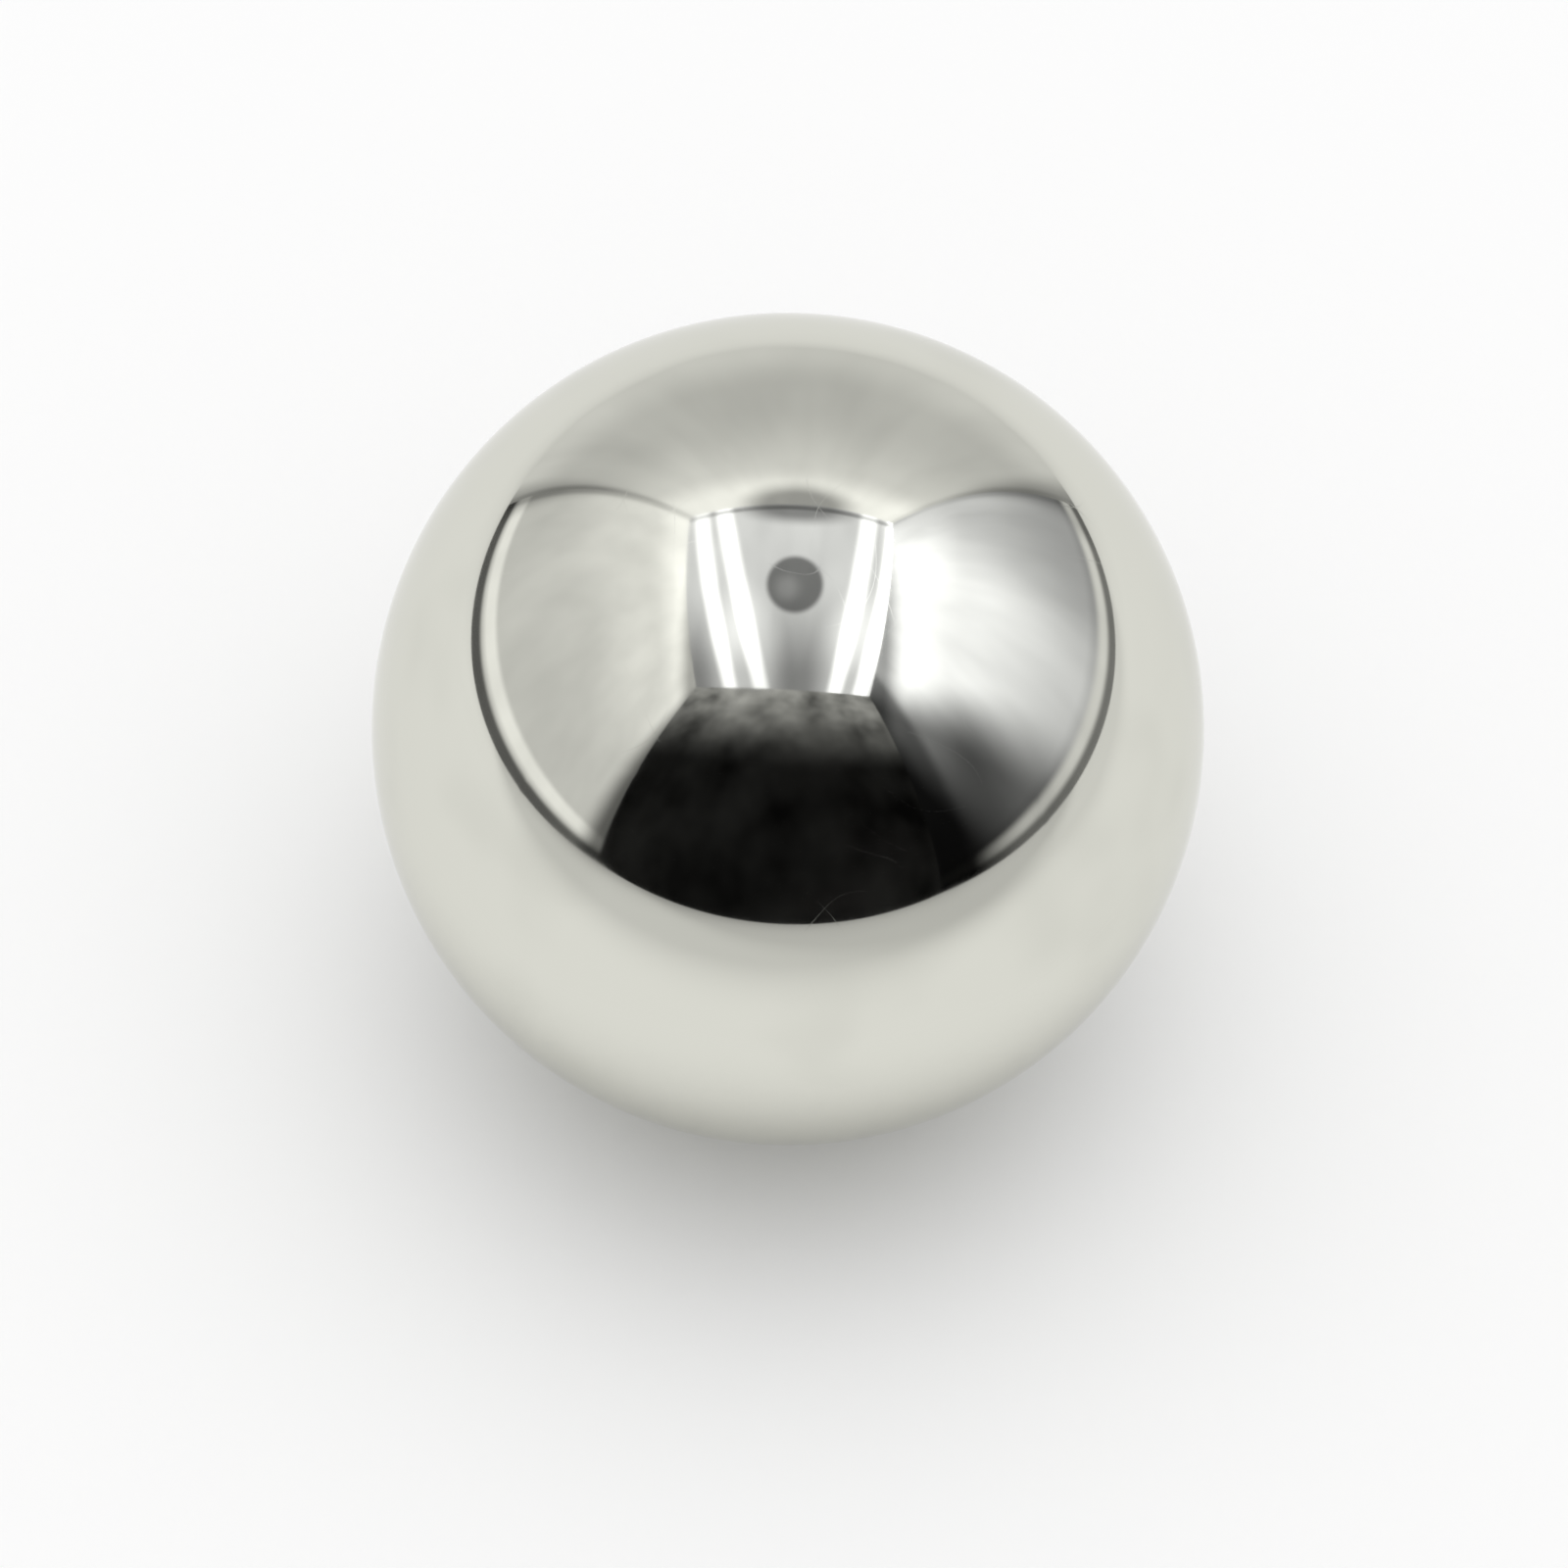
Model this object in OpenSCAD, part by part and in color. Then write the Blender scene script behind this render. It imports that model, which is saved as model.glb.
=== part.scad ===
// Solid steel ball, ground and lapped to a mirror finish.
// Millimetres, +Z up, with the origin at the centre of the ball.

/* [Ball] */
// Diameter of the ball
ball_d = 12; // [3:0.5:50]

/* [Hidden] */
// Segments round the ball
$fn = 128;
// Pale, very slightly warm grey of bright steel
steel_colour = "#D7D7CE";

// One solid piece, with no flat, hole or seam
module ball() {
    color(steel_colour)
        sphere(d = ball_d);
}

ball();
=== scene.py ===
import math

import bpy
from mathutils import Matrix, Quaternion, Vector


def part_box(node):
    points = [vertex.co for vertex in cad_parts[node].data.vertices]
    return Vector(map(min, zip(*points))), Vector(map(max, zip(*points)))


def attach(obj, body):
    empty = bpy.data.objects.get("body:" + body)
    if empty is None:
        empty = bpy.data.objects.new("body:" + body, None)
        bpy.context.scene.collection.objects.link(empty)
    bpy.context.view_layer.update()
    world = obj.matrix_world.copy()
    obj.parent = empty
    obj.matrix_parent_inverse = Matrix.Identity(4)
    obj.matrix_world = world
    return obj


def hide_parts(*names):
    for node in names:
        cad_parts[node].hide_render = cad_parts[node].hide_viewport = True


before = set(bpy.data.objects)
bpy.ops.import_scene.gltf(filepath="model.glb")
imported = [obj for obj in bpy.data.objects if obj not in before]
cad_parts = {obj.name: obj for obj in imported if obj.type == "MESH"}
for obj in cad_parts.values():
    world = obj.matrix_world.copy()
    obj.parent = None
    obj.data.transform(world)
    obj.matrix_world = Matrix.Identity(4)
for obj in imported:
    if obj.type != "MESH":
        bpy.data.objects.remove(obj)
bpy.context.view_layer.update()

MM = 0.001

# The ball, from its CAD node
ball_low, ball_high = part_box("ball")
BALL_CENTRE = (ball_low + ball_high) / 2
BALL_RADIUS = (ball_high.z - ball_low.z) / 2
FLOOR_LEVEL = ball_low.z

# Even steps of angle across each of the six faces that the ball's mesh is made of
STEPS_PER_FACE = 80

# Where the photograph was taken from
CAMERA_ELEVATION = math.radians(52.4)
CAMERA_ROLL = math.radians(3.2)
CAMERA_DISTANCE = 25 * BALL_RADIUS
PICTURE_PX = 1600
BALL_WIDTH_PX = 850
BALL_PLACE_PX = (804, 744)
SENSOR_WIDTH_MM = 36

# The light tent, a cube of white cloth with its front open
TENT_TOP = 400 * MM
TENT_LEFT = -212 * MM
TENT_RIGHT = 176 * MM
TENT_BACK = 196 * MM
TENT_FRONT = -204 * MM
HEM_TOP = 20 * MM

# How far the hem hangs before the side, and the tent's floor lies over the sheet, so that each is seen
HEM_GAP = 1 * MM
FLOOR_GAP = 0.1 * MM

# The sheet that the ball lies on, which reaches this far each way
SHEET_REACH = 2.0
SHEET_WHITE = "#FDFDFD"

UP = Vector((0, 0, 1))
BACKWARDS = Vector((0, 1, 0))
FORWARDS = Vector((0, -1, 0))
TO_LEFT = Vector((-1, 0, 0))
TO_RIGHT = Vector((1, 0, 0))


def linear(hex_colour):
    """Turns a sRGB colour such as #D7D7CE to the linear colour that a shader reads."""
    channels = [int(hex_colour[i : i + 2], 16) / 255 for i in (1, 3, 5)]
    straight = [c / 12.92 if c <= 0.04045 else ((c + 0.055) / 1.055) ** 2.4 for c in channels]
    return (*straight, 1.0)


def add_node(tree, kind, settings=None, inputs=None):
    """Adds a node, makes its settings, and gives each input a value or a link."""
    node = tree.nodes.new(kind)
    for name, value in (settings or {}).items():
        setattr(node, name, value)
    for key, value in (inputs or {}).items():
        if isinstance(value, bpy.types.NodeSocket):
            tree.links.new(value, node.inputs[key])
        else:
            node.inputs[key].default_value = value
    return node


def empty_material(name):
    """A material whose tree holds nothing yet."""
    material = bpy.data.materials.new(name)
    material.use_nodes = True
    material.node_tree.nodes.clear()
    return material


# Surface of the ball

STEEL = "#D7D7CE"
STEEL_AT_A_SLANT = "#F0F0EE"
STEEL_UNDER_OIL = "#D0D0C7"
# Painted shade: a pit's hollow has no relief, so it is drawn as a dark dot
PIT_SHADE_COLOUR = "#6A675F"
SMUDGE_SIZE = 3 * MM
HAZE_SIZE = 0.3 * MM
WAVE_LENGTH = 1.6 * MM
WAVE_HEIGHT = 0.0004 * MM
PIT_RADIUS = 0.04 * MM
PIT_SPACING = 1.5 * MM
HAIRLINE_WIDTH = 0.016 * MM
HAIRLINE_SPACING = 0.9 * MM
HAIRLINE_WANDER = 2.5 * MM
HAIRLINE_RUN = 1.7 * MM

# Roughness of the lapped mirror where it is clear and where it is hazy, and what each mark adds to it
CLEAR_ROUGHNESS = 0.03
HAZY_ROUGHNESS = 0.05
OIL_ROUGHNESS = 0.06
HAIRLINE_ROUGHNESS = 0.15
PIT_ROUGHNESS = 0.35


def lapped_bearing_steel():
    """Hardened chromium steel, ground and then lapped between plates until it mirrors.

    It reflects about two thirds of the light and a little less of the blue, so white looks a pale warm grey.
    Near the outline steel reflects an eighth less than most metals, so its rim stays grey against white.
    Lapping leaves no grain. All that breaks the mirror is a trace of oil, a hairline and now and then a pit.
    """
    material = empty_material("lapped_bearing_steel")
    tree = material.node_tree
    place = add_node(tree, "ShaderNodeTexCoord").outputs["Object"]

    # Smudges, where a cloth has left a trace of oil
    smudge_noise = add_node(
        tree,
        "ShaderNodeTexNoise",
        inputs={"Vector": place, "Scale": 1 / SMUDGE_SIZE, "Detail": 2.0},
    )
    smudge = add_node(
        tree,
        "ShaderNodeMapRange",
        {"interpolation_type": "SMOOTHSTEP"},
        {"Value": smudge_noise.outputs["Fac"], "From Min": 0.5, "From Max": 0.75},
    ).outputs["Result"]

    # Haze that the lapping left, which only clouds the mirror a little
    haze_noise = add_node(
        tree,
        "ShaderNodeTexNoise",
        inputs={"Vector": place, "Scale": 1 / HAZE_SIZE, "Detail": 0.0},
    )

    hairlines = hairline_pattern(tree, place)
    pits = pit_pattern(tree, place)

    # Colour: steel, a shade darker under oil, and dark with painted shade in the hollow of a pit
    oiled = add_node(
        tree,
        "ShaderNodeMix",
        {"data_type": "RGBA"},
        {0: smudge, 6: linear(STEEL), 7: linear(STEEL_UNDER_OIL)},
    )
    pit_shaded = add_node(
        tree,
        "ShaderNodeMix",
        {"data_type": "RGBA"},
        {0: pits, 6: oiled.outputs[2], 7: linear(PIT_SHADE_COLOUR)},
    )

    # Roughness of the lapped mirror, and what oil, hairlines and pits add to it
    roughness = add_node(
        tree,
        "ShaderNodeMapRange",
        inputs={"Value": haze_noise.outputs["Fac"], "To Min": CLEAR_ROUGHNESS, "To Max": HAZY_ROUGHNESS},
    ).outputs["Result"]
    for mark, added in ((smudge, OIL_ROUGHNESS), (hairlines, HAIRLINE_ROUGHNESS), (pits, PIT_ROUGHNESS)):
        roughness = add_node(
            tree,
            "ShaderNodeMath",
            {"operation": "MULTIPLY_ADD"},
            {0: mark, 1: added, 2: roughness},
        ).outputs["Value"]

    # Relief: a waviness less than a thousandth of a millimetre high
    wave_noise = add_node(
        tree,
        "ShaderNodeTexNoise",
        inputs={"Vector": place, "Scale": 1 / WAVE_LENGTH, "Detail": 0.0},
    )
    relief = add_node(
        tree,
        "ShaderNodeBump",
        inputs={"Height": wave_noise.outputs["Fac"], "Distance": WAVE_HEIGHT},
    )

    shader = add_node(
        tree,
        "ShaderNodeBsdfPrincipled",
        inputs={
            "Base Color": pit_shaded.outputs[2],
            "Metallic": 1.0,
            "Roughness": roughness,
            "Specular Tint": linear(STEEL_AT_A_SLANT),
            "Normal": relief.outputs["Normal"],
        },
    )
    add_node(tree, "ShaderNodeOutputMaterial", inputs={"Surface": shader.outputs["BSDF"]})
    return material


def hairline_pattern(tree, place):
    """Hairlines from rubbing in its box: arcs in two directions, broken into short runs.

    A real one is about 0.005 mm wide. They are drawn three times as wide, so that the picture can show them.
    """
    wander = add_node(
        tree,
        "ShaderNodeTexNoise",
        inputs={"Vector": place, "Scale": 1 / HAIRLINE_WANDER, "Detail": 0.0},
    )
    runs = add_node(
        tree,
        "ShaderNodeTexNoise",
        inputs={"Vector": place, "Scale": 1 / HAIRLINE_RUN, "Detail": 0.0},
    )
    lines = []
    for direction, shift in (((0.8, 0.35, 0.5), 3.0), ((-0.45, 0.75, 0.5), -4.5)):
        along_direction = add_node(
            tree,
            "ShaderNodeVectorMath",
            {"operation": "DOT_PRODUCT"},
            {0: place, 1: Vector(direction).normalized()},
        ).outputs["Value"]
        bent = add_node(
            tree,
            "ShaderNodeMath",
            {"operation": "MULTIPLY_ADD"},
            {0: wander.outputs["Fac"], 1: shift * HAIRLINE_SPACING, 2: along_direction},
        ).outputs["Value"]
        offset = add_node(
            tree,
            "ShaderNodeMath",
            {"operation": "PINGPONG"},
            {0: bent, 1: HAIRLINE_SPACING / 2},
        ).outputs["Value"]
        line = add_node(
            tree,
            "ShaderNodeMapRange",
            {"interpolation_type": "SMOOTHSTEP"},
            {"Value": offset, "From Max": HAIRLINE_WIDTH / 2, "To Min": 1.0, "To Max": 0.0},
        ).outputs["Result"]
        lines.append(line)
    either = add_node(
        tree,
        "ShaderNodeMath",
        {"operation": "MAXIMUM"},
        {0: lines[0], 1: lines[1]},
    ).outputs["Value"]
    shown = add_node(
        tree,
        "ShaderNodeMapRange",
        {"interpolation_type": "SMOOTHSTEP"},
        {"Value": runs.outputs["Fac"], "From Min": 0.54, "From Max": 0.68},
    ).outputs["Result"]
    return add_node(
        tree,
        "ShaderNodeMath",
        {"operation": "MULTIPLY"},
        {0: either, 1: shown},
    ).outputs["Value"]


def pit_pattern(tree, place):
    """Pits, as rough dots. Each cell of the pattern holds one, which shows where it lies on the surface."""
    cells = add_node(
        tree,
        "ShaderNodeTexVoronoi",
        inputs={"Vector": place, "Scale": 1 / PIT_SPACING},
    )
    return add_node(
        tree,
        "ShaderNodeMapRange",
        {"interpolation_type": "SMOOTHSTEP"},
        {
            "Value": cells.outputs["Distance"],
            "From Min": 0.5 * PIT_RADIUS / PIT_SPACING,
            "From Max": PIT_RADIUS / PIT_SPACING,
            "To Min": 1.0,
            "To Max": 0.0,
        },
    ).outputs["Result"]


# Shape of the ball


def ball_tree(material):
    """A cube's faces in even steps of angle, pushed out to the ball, so it has no pole and no thin face."""
    tree = bpy.data.node_groups.new("ball_from_cube", "GeometryNodeTree")
    tree.is_modifier = True
    tree.interface.new_socket("Geometry", in_out="OUTPUT", socket_type="NodeSocketGeometry")
    tree.interface.new_socket("Radius", in_out="INPUT", socket_type="NodeSocketFloat")
    tree.interface.new_socket("Centre", in_out="INPUT", socket_type="NodeSocketVector")
    tree.interface.new_socket("Points per edge", in_out="INPUT", socket_type="NodeSocketInt")
    given = add_node(tree, "NodeGroupInput").outputs
    points = given["Points per edge"]

    cube = add_node(
        tree,
        "GeometryNodeMeshCube",
        inputs={"Size": (2, 2, 2), "Vertices X": points, "Vertices Y": points, "Vertices Z": points},
    )
    on_cube = add_node(tree, "GeometryNodeInputPosition").outputs["Position"]
    angle = add_node(
        tree,
        "ShaderNodeVectorMath",
        {"operation": "SCALE"},
        {0: on_cube, "Scale": math.pi / 4},
    ).outputs["Vector"]
    even = add_node(tree, "ShaderNodeVectorMath", {"operation": "TANGENT"}, {0: angle}).outputs["Vector"]
    outwards = add_node(tree, "ShaderNodeVectorMath", {"operation": "NORMALIZE"}, {0: even}).outputs["Vector"]
    on_ball = add_node(
        tree,
        "ShaderNodeVectorMath",
        {"operation": "MULTIPLY_ADD"},
        {0: outwards, 1: given["Radius"], 2: given["Centre"]},
    ).outputs["Vector"]
    ball = add_node(
        tree,
        "GeometryNodeSetPosition",
        inputs={"Geometry": cube.outputs["Mesh"], "Position": on_ball},
    ).outputs["Geometry"]
    smooth = add_node(tree, "GeometryNodeSetShadeSmooth", inputs={"Geometry": ball}).outputs["Geometry"]
    mapped = add_node(
        tree,
        "GeometryNodeStoreNamedAttribute",
        {"data_type": "FLOAT2", "domain": "CORNER"},
        {"Geometry": smooth, "Name": "UVMap", "Value": cube.outputs["UV Map"]},
    ).outputs["Geometry"]
    real = add_node(tree, "GeometryNodeRealizeInstances", inputs={"Geometry": mapped}).outputs["Geometry"]
    finished = add_node(
        tree,
        "GeometryNodeSetMaterial",
        inputs={"Geometry": real, "Material": material},
    ).outputs["Geometry"]
    add_node(tree, "NodeGroupOutput", inputs={"Geometry": finished})
    return tree


def plain_object(name, tree, values):
    """Runs a tree with the given input values, and returns what it makes as a plain mesh object."""
    blank = bpy.data.objects.new("blank", bpy.data.meshes.new("blank"))
    bpy.context.scene.collection.objects.link(blank)
    modifier = blank.modifiers.new("shape", "NODES")
    modifier.node_group = tree
    for item in tree.interface.items_tree:
        if item.in_out == "INPUT":
            modifier[item.identifier] = values[item.name]
    evaluated = blank.evaluated_get(bpy.context.evaluated_depsgraph_get())
    mesh = bpy.data.meshes.new_from_object(evaluated)
    mesh.name = name
    bpy.data.objects.remove(blank)
    made = bpy.data.objects.new(name, mesh)
    bpy.context.scene.collection.objects.link(made)
    return made


def steel_ball():
    """The one piece. It takes the place of the CAD ball, with the same centre and radius."""
    values = {
        "Radius": BALL_RADIUS,
        "Centre": BALL_CENTRE,
        "Points per edge": STEPS_PER_FACE + 1,
    }
    ball = plain_object("steel_ball", ball_tree(lapped_bearing_steel()), values)
    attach(ball, "root")
    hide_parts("ball")


# Measures on the tent's cloth, each a function that adds its nodes and returns a number at each place


def along(direction):
    """How far a place lies along a direction."""

    def measure(tree, place):
        return add_node(
            tree,
            "ShaderNodeVectorMath",
            {"operation": "DOT_PRODUCT"},
            {0: place, 1: direction},
        ).outputs["Value"]

    return measure


def beside(direction, offset):
    """How far a place lies to either side of the line or level at an offset along a direction."""

    def measure(tree, place):
        distance = add_node(
            tree,
            "ShaderNodeMath",
            {"operation": "SUBTRACT"},
            {0: along(direction)(tree, place), 1: offset},
        ).outputs["Value"]
        return add_node(tree, "ShaderNodeMath", {"operation": "ABSOLUTE"}, {0: distance}).outputs["Value"]

    return measure


def around(centre, reach):
    """How far a place lies from a centre, where 1 is the rim of the oval with that reach on each axis."""

    def measure(tree, place):
        relative = add_node(
            tree,
            "ShaderNodeVectorMath",
            {"operation": "SUBTRACT"},
            {0: place, 1: centre},
        ).outputs["Vector"]
        scaled = add_node(
            tree,
            "ShaderNodeVectorMath",
            {"operation": "DIVIDE"},
            {0: relative, 1: reach},
        ).outputs["Vector"]
        return add_node(tree, "ShaderNodeVectorMath", {"operation": "LENGTH"}, {0: scaled}).outputs["Value"]

    return measure


# Floor and light tent


def glowing_cloth(name, light, level, fades, crease_shading, cover=None):
    """Cloth lit from outside. It glows at a level where 1 is white, and each fade changes that level.

    A fade is (measure, start, end, share): the level goes to that share of itself from start to end.
    Creases are painted light and shade in the glow, given as (depth, how many there are to a metre along each
    axis).
    A cover is (measure, start, end): the cloth is clear up to the start, and whole from the end on.
    """
    material = empty_material(name)
    tree = material.node_tree
    place = add_node(tree, "ShaderNodeTexCoord").outputs["Object"]
    depth, count = crease_shading
    stretched = add_node(
        tree,
        "ShaderNodeVectorMath",
        {"operation": "MULTIPLY"},
        {0: place, 1: count},
    ).outputs["Vector"]
    crease_shade_noise = add_node(
        tree,
        "ShaderNodeTexNoise",
        inputs={"Vector": stretched, "Scale": 1.0, "Detail": 2.0},
    )
    strength = add_node(
        tree,
        "ShaderNodeMapRange",
        inputs={
            "Value": crease_shade_noise.outputs["Fac"],
            "From Min": 0.3,
            "From Max": 0.7,
            "To Min": level * (1 - depth),
            "To Max": level * (1 + depth),
        },
    ).outputs["Result"]
    for measure, start, end, share in fades:
        faded = add_node(
            tree,
            "ShaderNodeMapRange",
            {"interpolation_type": "SMOOTHSTEP"},
            {
                "Value": measure(tree, place),
                "From Min": start,
                "From Max": end,
                "To Min": 1.0,
                "To Max": share,
            },
        ).outputs["Result"]
        strength = add_node(
            tree,
            "ShaderNodeMath",
            {"operation": "MULTIPLY"},
            {0: strength, 1: faded},
        ).outputs["Value"]
    glow = add_node(tree, "ShaderNodeEmission", inputs={"Color": linear(light), "Strength": strength})
    surface = glow.outputs["Emission"]
    if cover:
        measure, start, end = cover
        whole = add_node(
            tree,
            "ShaderNodeMapRange",
            {"interpolation_type": "SMOOTHSTEP"},
            {"Value": measure(tree, place), "From Min": start, "From Max": end},
        ).outputs["Result"]
        clear = add_node(tree, "ShaderNodeBsdfTransparent").outputs["BSDF"]
        surface = add_node(
            tree,
            "ShaderNodeMixShader",
            inputs={0: whole, 1: clear, 2: surface},
        ).outputs["Shader"]
    add_node(tree, "ShaderNodeOutputMaterial", inputs={"Surface": surface})
    return material


# Where the back meets the top the cloth sags, and painted shade makes a grey oval there that shows on both
BACK_EDGE = Vector((-3 * MM, TENT_BACK, TENT_TOP))
SAG_SHADE = (around(BACK_EDGE, (118 * MM, 58 * MM, 112 * MM)), 1.05, 0.45, 0.34)

DAYLIGHT = "#FFFFFF"
LAMPLIGHT = "#F8F9FF"

# Near the ball the floor is the matt sheet itself, with the shadow on it. The tent's own starts further out
TENT_FLOOR_START = 5 * MM
TENT_FLOOR_WHOLE = 12 * MM
TENT_FLOOR_BRIGHTNESS = 1.0


def left_cloth():
    """The left side: painted shade low down, white near the lamps, dim at its front corner, a lit hem and
    shaded seam at its foot.
    """
    fades = [
        (along(UP), 60 * MM, 300 * MM, 1.42),
        (along(UP), 270 * MM, 400 * MM, 1.45),
        (along(UP + 0.35 * FORWARDS), 360 * MM, 445 * MM, 0.36),
        (along(FORWARDS - 0.1 * UP), 150 * MM, 190 * MM, 0.18),
        (along(BACKWARDS - 0.1 * UP), 163 * MM, 190 * MM, 0.56),
        (along(BACKWARDS), 183 * MM, 192 * MM, 0.66),
        # Painted light on the hem, and painted shade in the seam below it
        (beside(UP, 20 * MM), 12 * MM, 4 * MM, 1.5),
        (along(UP), 10 * MM, 4 * MM, 0.17),
    ]
    return glowing_cloth("left_cloth", DAYLIGHT, 0.75, fades, (0.08, Vector((1, 18, 9))))


def back_cloth():
    """The back, which sweeps into the floor: no seam below, painted soft shade in its corners, and bright on
    either side.
    """
    fades = [
        (along(UP), 0, 70 * MM, 0.80),
        (along(UP), 100 * MM, 270 * MM, 1.38),
        (along(UP), 240 * MM, 340 * MM, 1.50),
        (along(TO_LEFT - 0.1 * UP), 179 * MM, 206 * MM, 0.56),
        (along(TO_LEFT), 201 * MM, 209 * MM, 0.66),
        (along(TO_RIGHT - 0.14 * UP), 138 * MM, 169 * MM, 0.45),
        (along(TO_RIGHT), 166 * MM, 173 * MM, 0.80),
        SAG_SHADE,
    ]
    return glowing_cloth("back_cloth", DAYLIGHT, 0.80, fades, (0.06, Vector((22, 1, 5))))


def right_cloth():
    """The right side: nearly white in the middle, with the front flap's shadow painted past a slanted edge
    where it hangs.
    """
    slanted = FORWARDS - 0.43 * UP
    shade_centre = Vector((TENT_RIGHT, -98 * MM, 106 * MM))
    fades = [
        (along(UP), 19 * MM, 178 * MM, 1.60),
        (along(UP), 168 * MM, 280 * MM, 1.30),
        (along(UP + 0.45 * FORWARDS), 309 * MM, 421 * MM, 0.30),
        (along(BACKWARDS - 0.25 * UP), 0, 112 * MM, 0.58),
        # Painted shadow of the front flap, past its slanted edge and round its middle
        (along(slanted), -23 * MM, 61 * MM, 0.17),
        (along(slanted), 56 * MM, 136 * MM, 0.06),
        (around(shade_centre, (60 * MM, 60 * MM, 110 * MM)), 1.0, 0, 0.45),
        (along(FORWARDS), 138 * MM, 160 * MM, 0.50),
        (along(BACKWARDS - 0.14 * UP), 160 * MM, 190 * MM, 0.50),
        (along(BACKWARDS), 185 * MM, 193 * MM, 0.80),
        (along(UP), 30 * MM, 16 * MM, 0.80),
    ]
    return glowing_cloth("right_cloth", LAMPLIGHT, 0.88, fades, (0.08, Vector((1, 26, 6))))


def hem_cloth():
    """The turned-up hem at the foot of the right side, which the floor lights, also past the flap's edge."""
    fades = [
        (along(FORWARDS), -20 * MM, 80 * MM, 0.68),
        (along(FORWARDS), 78 * MM, 152 * MM, 0.01),
        (along(BACKWARDS), 140 * MM, 175 * MM, 0.70),
        (along(UP), 7 * MM, 0, 0.27),
    ]
    cover = (along(UP), HEM_TOP, HEM_TOP / 2)
    return glowing_cloth("hem_cloth", DAYLIGHT, 0.85, fades, (0.06, Vector((1, 26, 1))), cover)


def dark_room():
    """What shows through the open front: a dim room, a little lighter towards its ceiling."""
    fades = [(along(UP), 180 * MM, 400 * MM, 40.0)]
    return glowing_cloth("dark_room", DAYLIGHT, 0.009, fades, (0.7, Vector((16, 1, 12))))


def top_cloth():
    """The top: lamps shine through it in two pairs of long strips, with a closed round port between them."""
    fades = [
        (along(FORWARDS), -40 * MM, 180 * MM, 0.32),
        (along(TO_RIGHT), 145 * MM, 170 * MM, 1.60),
        (beside(BACKWARDS, 187 * MM), 8 * MM, 2 * MM, 0.5),
        SAG_SHADE,
    ]

    # The wide glow of the lamps on either side
    glow_reach = (105 * MM, 230 * MM, 230 * MM)
    for glow_centre in (Vector((-100 * MM, -185 * MM, TENT_TOP)), Vector((128 * MM, -185 * MM, TENT_TOP))):
        fades.append((around(glow_centre, glow_reach), 1.0, 0.2, 2.7))

    # The port's dark disc, and a lighter patch within it
    port_centre = Vector((-2 * MM, 15 * MM, TENT_TOP))
    port_reach = (50 * MM, 57 * MM, 57 * MM)
    fades.append((around(port_centre, port_reach), 1.12, 0.88, 0.27))
    fades.append((around(port_centre + Vector((-14 * MM, -8 * MM, 0)), port_reach), 0.7, 0.1, 1.5))

    # The lamp strips, each from its place on the back line to its place on the front line
    lamp_half_width = 15 * MM
    lamp_edge = 8 * MM
    back_line = 0.42 * TENT_TOP
    front_line = -0.50 * TENT_TOP
    for back_share, front_share in ((-0.455, -0.325), (-0.34, -0.155), (0.315, 0.235), (0.45, 0.375)):
        back_end = Vector((back_share * TENT_TOP, back_line, 0))
        front_end = Vector((front_share * TENT_TOP, front_line, 0))
        across = (back_end - front_end).cross(UP).normalized()
        fades.append(
            (
                beside(across, back_end.dot(across)),
                lamp_half_width + lamp_edge,
                lamp_half_width - lamp_edge,
                2.2,
            )
        )
    return glowing_cloth("top_cloth", LAMPLIGHT, 1.0, fades, (0.08, Vector((16, 5, 1))))


def floor_cloth():
    """The tent's floor, which dims towards the front and into the corners below the back's seams."""
    left_corner = Vector((TENT_LEFT, TENT_BACK, FLOOR_LEVEL))
    right_corner = Vector((TENT_RIGHT, TENT_BACK, FLOOR_LEVEL))
    fades = [
        (around(left_corner, (33 * MM, 33 * MM, 33 * MM)), 1.0, 0.18, 0.56),
        (around(right_corner, (38 * MM, 38 * MM, 38 * MM)), 1.0, 0.18, 0.45),
        (along(FORWARDS), 15 * MM, 36 * MM, 0.77),
        (along(FORWARDS), 40 * MM, 204 * MM, 0.72),
        (along((TO_RIGHT + FORWARDS).normalized()), 24 * MM, 50 * MM, 0.86),
        (along((TO_LEFT + FORWARDS).normalized()), 60 * MM, 200 * MM, 0.86),
        (along(BACKWARDS), 17 * MM, 190 * MM, 0.82),
    ]
    crease_shading = (0.01, Vector((20, 20, 1)))
    reach = TENT_FLOOR_WHOLE
    cover = (around(Vector((0, 0, FLOOR_LEVEL)), (reach, reach, reach)), TENT_FLOOR_START / reach, 1.0)
    return glowing_cloth("floor_cloth", DAYLIGHT, TENT_FLOOR_BRIGHTNESS, fades, crease_shading, cover)


def upright(x0, y0, x1, y1, top=TENT_TOP):
    """The corners of a side of the tent between two points on the plan."""
    return [(x0, y0, FLOOR_LEVEL), (x1, y1, FLOOR_LEVEL), (x1, y1, top), (x0, y0, top)]


def stage_object(name, sheets):
    """Makes one object of the stage from four-cornered sheets, each given as its corners and its material."""
    corners = [corner for sheet, _ in sheets for corner in sheet]
    faces = [[4 * number + i for i in range(4)] for number in range(len(sheets))]
    mesh = bpy.data.meshes.new(name)
    mesh.from_pydata(corners, [], faces)
    for number, (_, material) in enumerate(sheets):
        mesh.materials.append(material)
        mesh.polygons[number].material_index = number
    made = bpy.data.objects.new(name, mesh)
    bpy.context.scene.collection.objects.link(made)
    return made


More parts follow.
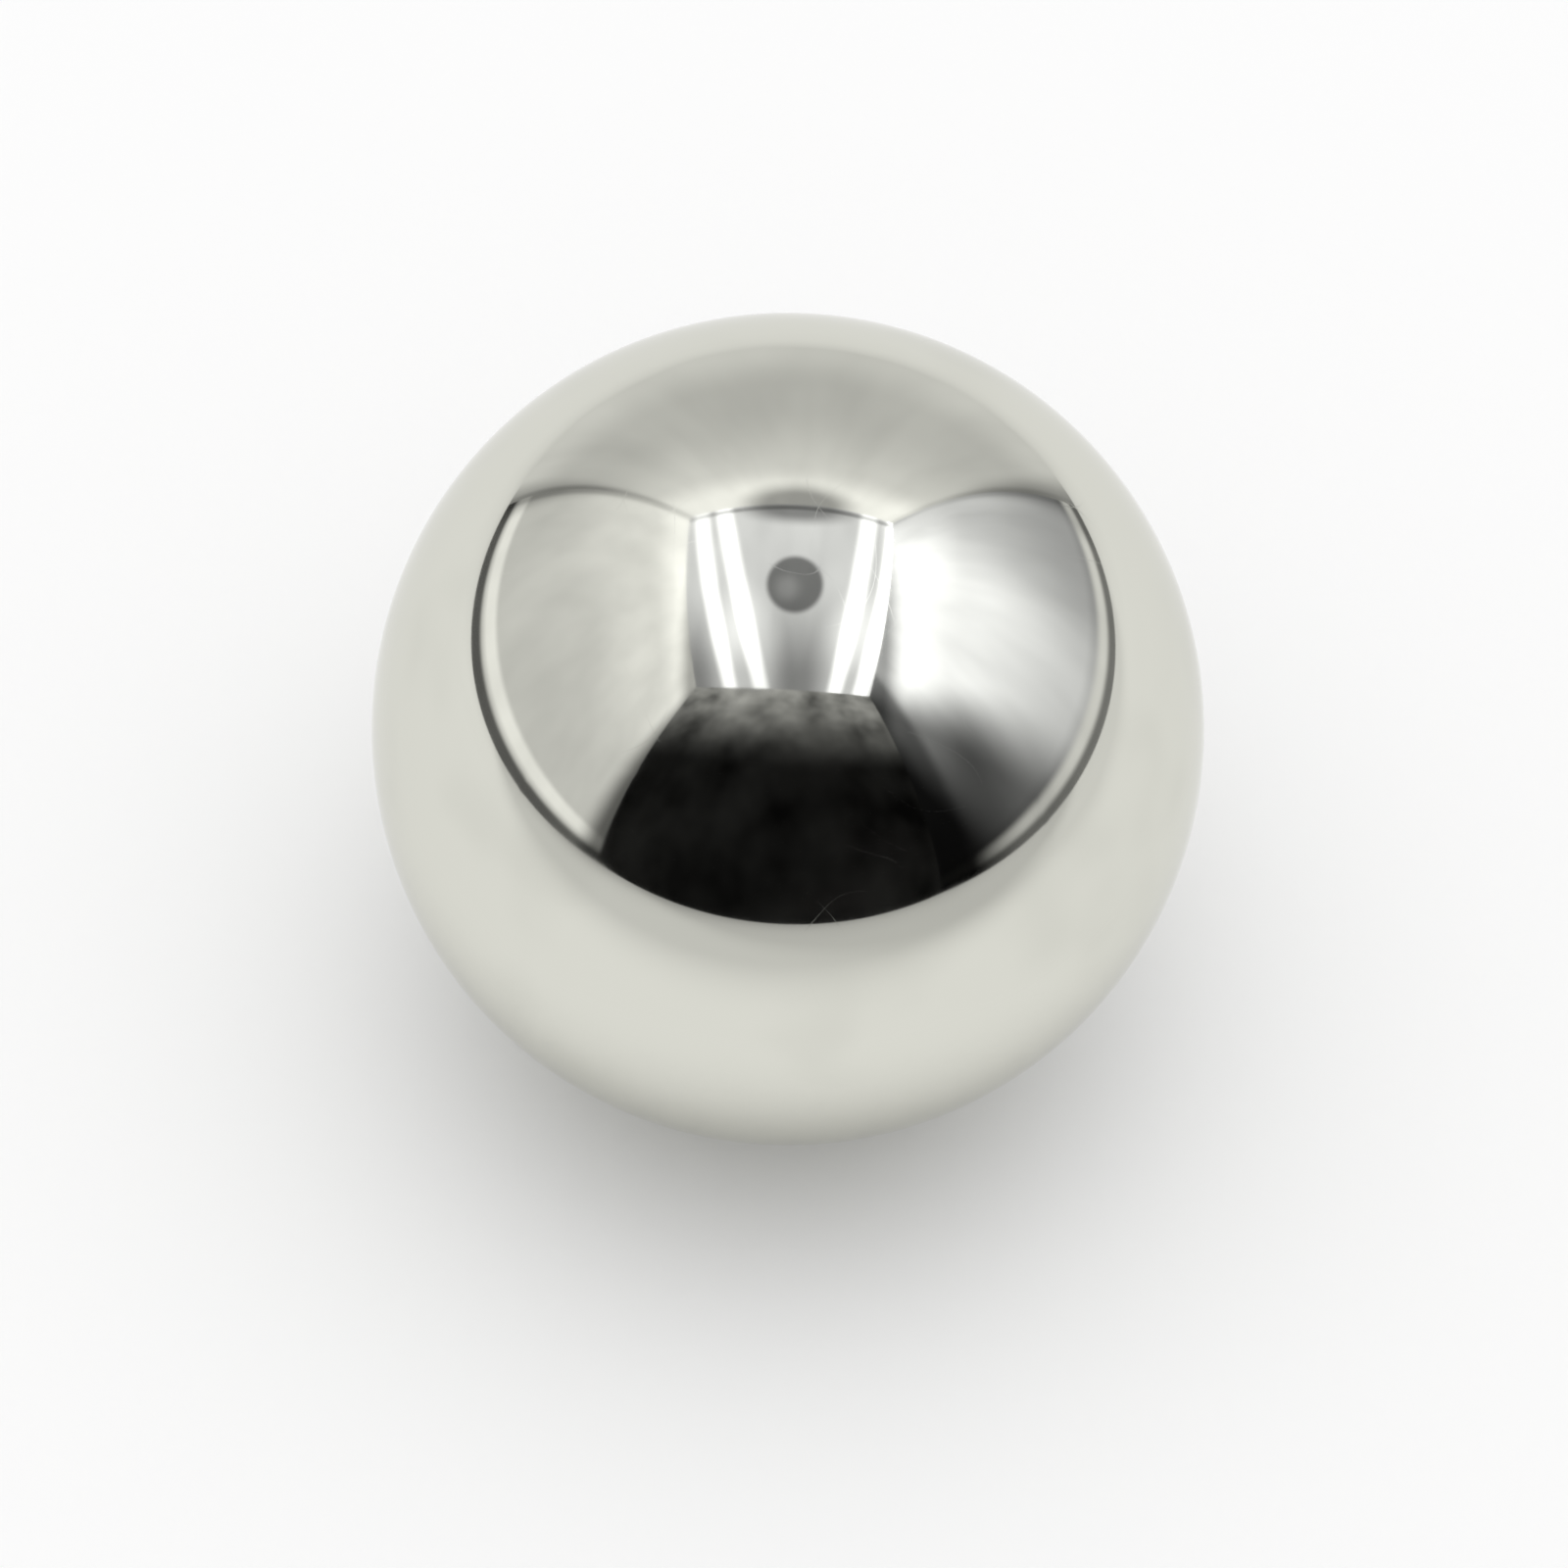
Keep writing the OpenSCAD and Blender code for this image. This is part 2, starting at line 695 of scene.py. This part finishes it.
def light_tent():
    """White cloth on three sides, above and below, and a dark room in front, seen in the ball alone.

    The camera, and the light that falls on the floor, pass through it.
    """
    plan = [
        (TENT_LEFT, TENT_FRONT),
        (TENT_LEFT, TENT_BACK),
        (TENT_RIGHT, TENT_BACK),
        (TENT_RIGHT, TENT_FRONT),
    ]
    hem_x = TENT_RIGHT - HEM_GAP
    sheets = [
        ([(x, y, TENT_TOP) for x, y in plan], top_cloth()),
        ([(x, y, FLOOR_LEVEL + FLOOR_GAP) for x, y in plan], floor_cloth()),
        (upright(hem_x, TENT_FRONT, hem_x, TENT_BACK, HEM_TOP), hem_cloth()),
    ]
    for number, cloth in enumerate((left_cloth(), back_cloth(), right_cloth(), dark_room())):
        following = (number + 1) % 4
        sheets.append((upright(*plan[number], *plan[following]), cloth))
    tent = stage_object("light_tent", sheets)
    tent.visible_camera = False
    tent.visible_diffuse = False
    tent.visible_shadow = False
    for cloth in tent.data.materials:
        cloth.cycles.emission_sampling = "NONE"


def floor():
    """A matt white sheet, wide enough to end beyond every view, that takes the ball's shadow."""
    material = empty_material("matt_white_sheet")
    tree = material.node_tree
    sheet = add_node(tree, "ShaderNodeBsdfDiffuse", inputs={"Color": linear(SHEET_WHITE)})
    add_node(tree, "ShaderNodeOutputMaterial", inputs={"Surface": sheet.outputs["BSDF"]})
    reach = SHEET_REACH
    corners = [(-reach, -reach), (reach, -reach), (reach, reach), (-reach, reach)]
    stage_object("floor", [([(x, y, FLOOR_LEVEL) for x, y in corners], material)])


# A flat floor receives SKY_LEVEL + 2 * SKY_OVERHEAD / (SKY_POWER + 2), which is 1, so it shows its own colour
SKY_LEVEL = 0.65
SKY_POWER = 6
SKY_OVERHEAD = (1 - SKY_LEVEL) * (SKY_POWER + 2) / 2


def white_surroundings():
    """A plain white world. As light on the floor it is brightest overhead, like the lamps over the tent."""
    world = bpy.data.worlds.new("white_surroundings")
    world.use_nodes = True
    tree = world.node_tree
    tree.nodes.clear()
    direction = add_node(tree, "ShaderNodeTexCoord").outputs["Generated"]
    height = add_node(tree, "ShaderNodeSeparateXYZ", inputs={"Vector": direction}).outputs["Z"]
    overhead = add_node(
        tree,
        "ShaderNodeMath",
        {"operation": "POWER"},
        {0: height, 1: SKY_POWER},
    ).outputs["Value"]
    light_on_floor = add_node(
        tree,
        "ShaderNodeMath",
        {"operation": "MULTIPLY_ADD"},
        {0: overhead, 1: SKY_OVERHEAD, 2: SKY_LEVEL},
    ).outputs["Value"]
    ray = add_node(tree, "ShaderNodeLightPath").outputs
    seen = ray["Is Camera Ray"]
    for kind in ("Is Glossy Ray", "Is Transmission Ray"):
        seen = add_node(
            tree,
            "ShaderNodeMath",
            {"operation": "MAXIMUM"},
            {0: seen, 1: ray[kind]},
        ).outputs["Value"]
    strength = add_node(
        tree,
        "ShaderNodeMix",
        {"data_type": "FLOAT"},
        {0: seen, 2: light_on_floor, 3: 1.0},
    ).outputs[0]
    light = add_node(tree, "ShaderNodeBackground", inputs={"Color": linear("#FFFFFF"), "Strength": strength})
    add_node(tree, "ShaderNodeOutputWorld", inputs={"Surface": light.outputs["Background"]})
    world.cycles.sampling_method = "NONE"
    bpy.context.scene.world = world


# Camera


def camera():
    """Looks down at the ball as the photograph does, with a lens that lets it fill half of the picture."""
    towards = Vector((0, -math.cos(CAMERA_ELEVATION), math.sin(CAMERA_ELEVATION)))
    half_angle = math.asin(BALL_RADIUS / CAMERA_DISTANCE)
    focal_px = BALL_WIDTH_PX / 2 / math.tan(half_angle)
    data = bpy.data.cameras.new("camera")
    data.sensor_width = SENSOR_WIDTH_MM
    data.lens = focal_px * SENSOR_WIDTH_MM / PICTURE_PX
    data.clip_start = 5 * MM
    camera_object = bpy.data.objects.new("camera", data)
    bpy.context.scene.collection.objects.link(camera_object)
    camera_object.location = BALL_CENTRE + CAMERA_DISTANCE * towards
    level_look = (-towards).to_track_quat("-Z", "Y")
    rolled = level_look @ Quaternion((0, 0, 1), CAMERA_ROLL)
    right_px = BALL_PLACE_PX[0] - PICTURE_PX / 2
    down_px = BALL_PLACE_PX[1] - PICTURE_PX / 2
    aside = Quaternion((0, 1, 0), math.atan(right_px / focal_px))
    upwards = Quaternion((1, 0, 0), math.atan(down_px / focal_px))
    camera_object.rotation_mode = "QUATERNION"
    camera_object.rotation_quaternion = rolled @ aside @ upwards
    bpy.context.scene.camera = camera_object


steel_ball()
floor()
light_tent()
white_surroundings()
camera()
bpy.context.scene.view_settings.view_transform = "Standard"
